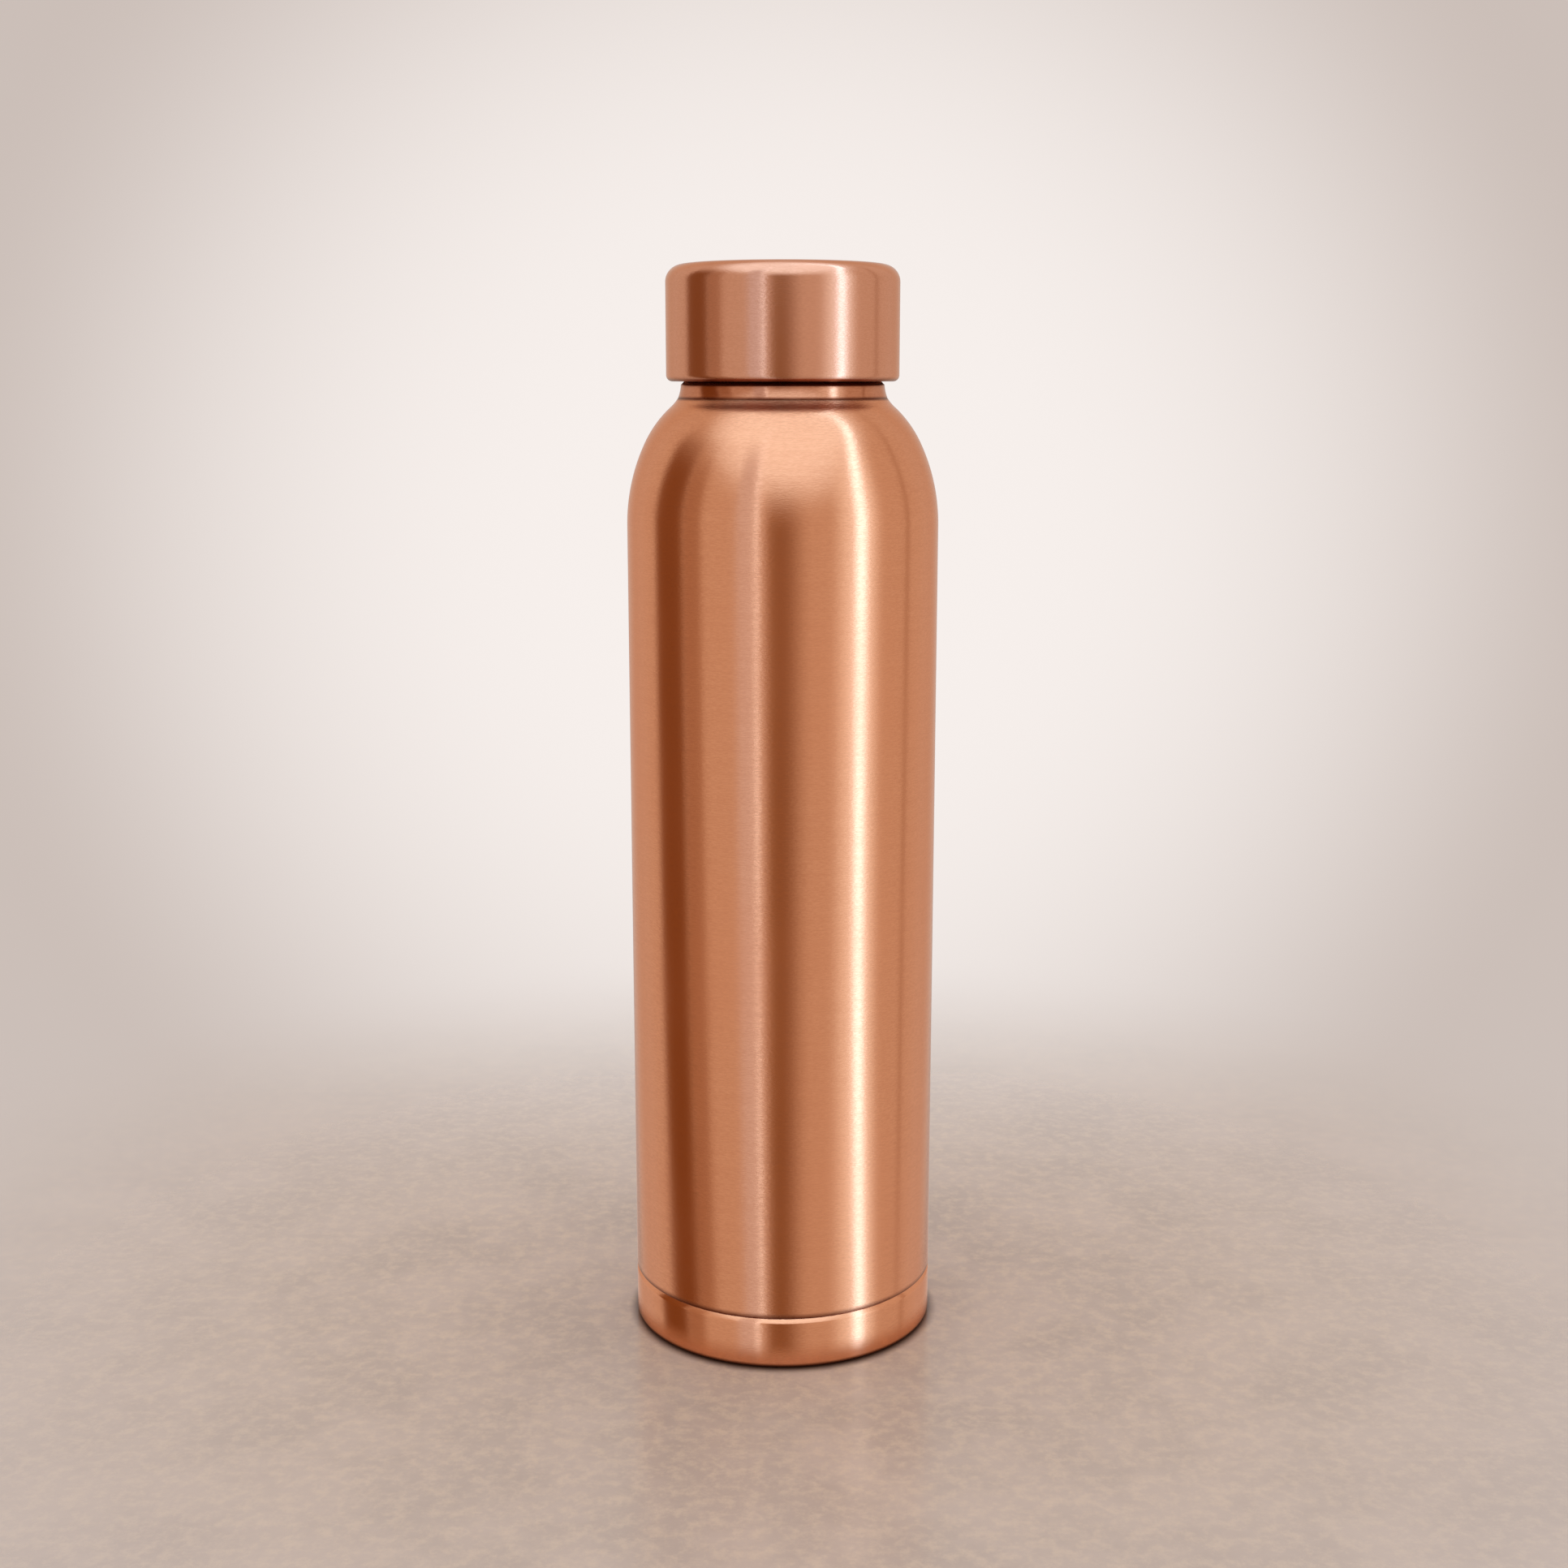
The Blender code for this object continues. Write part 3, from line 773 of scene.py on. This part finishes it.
def floor():
    """A wide round floor that thins out into the backdrop, so that no edge or horizon shows."""
    builder = bmesh.new()
    bmesh.ops.create_circle(builder, cap_ends=True, radius=FLOOR_R, segments=FLOOR_SEGMENTS)
    mesh = bpy.data.meshes.new("floor")
    builder.to_mesh(mesh)
    builder.free()
    made = bpy.data.objects.new("floor", mesh)
    bpy.context.scene.collection.objects.link(made)

    nodes = material_nodes("floor")
    where = nodes.add("ShaderNodeTexCoord").outputs["Object"]
    length = nodes.add("ShaderNodeVectorMath", operation="LENGTH")
    nodes.link(where, length.inputs["Vector"])
    mottle = nodes.noise(where, *FLOOR_MOTTLE)
    fine = nodes.noise(where, *FLOOR_FINE)
    grit = nodes.noise(where, *FLOOR_GRIT)
    paler = tuple(c * FLOOR_PALER for c in FLOOR_TONE)
    tone = nodes.mix(nodes.remap(mottle, *CLOUD_TONES, 0.0, 1.0), FLOOR_TONE, paler)
    tone = nodes.mix(nodes.remap(grit, *GRIT_TONES, 0.0, FLOOR_SPECK_STRENGTH), tone, FLOOR_SPECKS)
    contact = smooth_range(nodes, length.outputs["Value"], *CONTACT_SHADOW)
    tone = nodes.mix(contact, CONTACT_TONE, tone)
    nodes.link(tone, nodes.shader.inputs["Base Color"])
    nodes.link(nodes.remap(fine, *CLOUD_ROUGH, *FLOOR_ROUGHNESS), nodes.shader.inputs["Roughness"])
    bump = nodes.add("ShaderNodeBump")
    nodes.set(bump, Strength=0.1, Distance=0.0002)
    nodes.link(fine, bump.inputs["Height"])
    nodes.link(bump.outputs["Normal"], nodes.shader.inputs["Normal"])
    nodes.shader.inputs["Specular IOR Level"].default_value = 0.4
    nodes.shader.inputs["Specular Tint"].default_value = (1.0, 0.80, 0.66, 1.0)

    # The copper mirrors the floor only close by, at its foot: further up, the panels run on below the
    # horizon.
    path = nodes.add("ShaderNodeLightPath")
    away = smooth_range(nodes, length.outputs["Value"], *FLOOR_FADE)
    far = smooth_range(nodes, path.outputs["Ray Length"], *MIRRORED_FLOOR)
    unseen = nodes.math("MAXIMUM", away, nodes.math("MULTIPLY", path.outputs["Is Glossy Ray"], far))
    clear = nodes.add("ShaderNodeBsdfTransparent")
    shown = nodes.blend_shaders(unseen, nodes.shader.outputs["BSDF"], clear.outputs[0])
    nodes.link(shown, nodes.output.inputs["Surface"])
    mesh.materials.append(nodes.material)


def camera():
    data = bpy.data.cameras.new("camera")
    data.lens = CAMERA_LENS
    data.sensor_width = CAMERA_SENSOR
    data.shift_x = CAMERA_SHIFT_X
    data.clip_start = CAMERA_NEAR
    data.clip_end = CAMERA_FAR
    made = bpy.data.objects.new("camera", data)
    bpy.context.scene.collection.objects.link(made)
    made.location = (0, -CAMERA_DISTANCE, CAMERA_HEIGHT)
    made.rotation_euler = (pi / 2 - CAMERA_PITCH, 0, 0)
    bpy.context.scene.camera = made


# ---------------------------------------------------------------- assembly


def dress(piece, finish, body, node):
    piece.data.materials.append(finish)
    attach(piece, body)
    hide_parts(node)


def main():
    joint_z = lowest("body_shell")
    crease_z = highest("body_shell")
    cap_top_z = highest("cap_shell")
    cap_edge_z = lowest("cap_shell")
    # Painted shade at the body's lower joint and at the crease.
    body_painted_shade = [(joint_z, BODY_JOINT_PAINTED_SHADE), (crease_z, CREASE_PAINTED_SHADE)]
    # Painted shade at the base joint and a painted contact shadow at the foot.
    base_painted_shade = [(joint_z, BASE_JOINT_PAINTED_SHADE), (0, FOOT_PAINTED_SHADE)]
    # Painted highlight below the base joint.
    base_painted_highlight = [(joint_z - BASE_HIGHLIGHT_DROP, BASE_PAINTED_HIGHLIGHT)]
    # Painted shade at the crease and a painted shadow of the cap on the neck.
    neck_painted_shade = [(crease_z, CREASE_PAINTED_SHADE), (cap_edge_z, BAND_PAINTED_SHADOW)]
    neck_worn = [(highest("neck_collar"), MOUTH_POLISH)]
    # Painted shade at the cap's lower edge.
    cap_painted_shade = [(cap_edge_z, CAP_EDGE_PAINTED_SHADE)]
    # Painted highlight round the cap's top.
    cap_painted_highlight = [(cap_top_z - CAP_HIGHLIGHT_DROP, CAP_PAINTED_HIGHLIGHT)]
    turned_dark = tuple(c * TURNED_SHADE for c in COPPER_DARK)
    body = brushed_copper("copper_body", COPPER_LIGHT, COPPER_DARK, BODY_ROUGHNESS, [], body_painted_shade)
    base = brushed_copper("copper_base", COPPER_LIGHT, COPPER_DARK, BODY_ROUGHNESS, base_painted_highlight, base_painted_shade)
    # The neck's copper is darkened as painted shade under the cap.
    neck = brushed_copper(
        "copper_neck_shaded", NECK_SHADED_LIGHT, NECK_SHADED_DARK, NECK_ROUGHNESS, neck_worn, neck_painted_shade, NECK_GRAIN
    )
    cap = brushed_copper("copper_cap", CAP_LIGHT, CAP_DARK, CAP_ROUGHNESS, cap_painted_highlight, cap_painted_shade)
    inside = brushed_copper(
        "copper_turned", COPPER_DARK, turned_dark, TURNED_ROUGHNESS, grain=TURNED_GRAIN
    )

    dress(body_shell(), body, "bottle", "body_shell")
    dress(base_cup(), base, "bottle", "base_cup")
    dress(neck_collar(), neck, "bottle", "neck_collar")
    dress(cap_shell(), cap, "cap", "cap_shell")
    dress(cap_thread_sleeve(), inside, "cap", "cap_thread_sleeve")
    dress(sealing_ring(), silicone(), "seal", "cap_sealing_ring")
    solder_finish = solder()
    for node in ("base_solder_ring", "neck_solder_ring", "cap_solder_ring"):
        kept = frame["nodes"][node]
        kept.data.materials.clear()
        kept.data.materials.append(solder_finish)

    world()
    floor()
    camera()
    bpy.context.scene.view_settings.view_transform = "Standard"


main()
